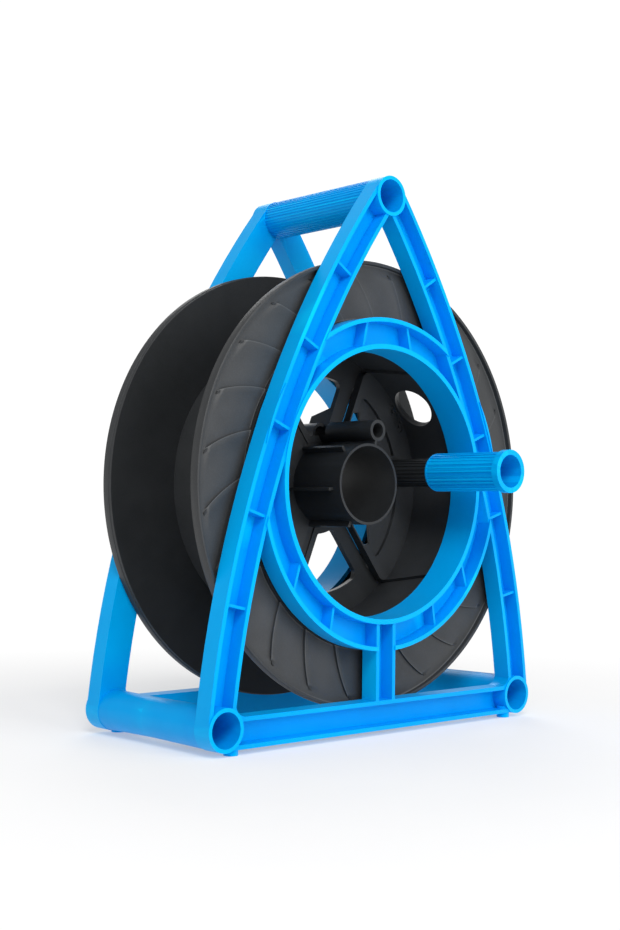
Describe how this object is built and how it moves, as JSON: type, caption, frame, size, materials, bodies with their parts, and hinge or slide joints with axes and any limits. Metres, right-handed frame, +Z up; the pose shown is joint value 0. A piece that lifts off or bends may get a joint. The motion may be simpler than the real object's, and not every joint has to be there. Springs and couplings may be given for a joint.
{
  "type": "fish tape reel",
  "caption": "Empty wire or fish tape spool with a crank grip, turning on ring journals inside a two-part triangular carrying stand with a tubular handle.",
  "frame": {"origin": "middle of the spool's hub bore, on the spool axis", "axes": "+X right along the base seen from the crank side, +Y along the spool axis away from the crank, +Z up through the handle"},
  "size_m": [0.301, 0.178, 0.3725],
  "materials": {
    "stand_plastic": "satin moulded bright blue polypropylene",
    "grip_plastic": "satin moulded bright blue polypropylene, fluted",
    "spool_plastic": "fine matt black moulded polystyrene",
    "steel": "zinc-plated steel"
  },
  "bodies": {
    "frame": {"front_frame": "stand_plastic", "rear_frame": "stand_plastic", "tie_screws": "steel", "tie_washers": "steel", "tie_nuts": "steel"},
    "spool": {"front_flange": "spool_plastic", "rear_flange": "spool_plastic", "drum": "spool_plastic", "drum_rings": "spool_plastic", "hub_core": "spool_plastic", "front_flange_screws": "steel", "rear_flange_screws": "steel", "crank_plate": "spool_plastic", "plate_screws": "steel", "plate_clip": "spool_plastic", "crank_post": "spool_plastic", "post_screw": "steel", "post_washer": "steel", "grip_screw": "steel", "grip_washer": "steel"},
    "grip": {"crank_grip": "grip_plastic"}
  },
  "joints": [
    {"name": "spool_spin", "type": "hinge", "parent": "frame", "child": "spool", "pos_m": [0, 0, 0], "axis": [0, 1, 0], "continuous": true},
    {"name": "grip_spin", "type": "hinge", "parent": "spool", "child": "grip", "pos_m": [0.06579, -0.08, 0.00971], "axis": [0, 1, 0], "continuous": true}
  ]
}
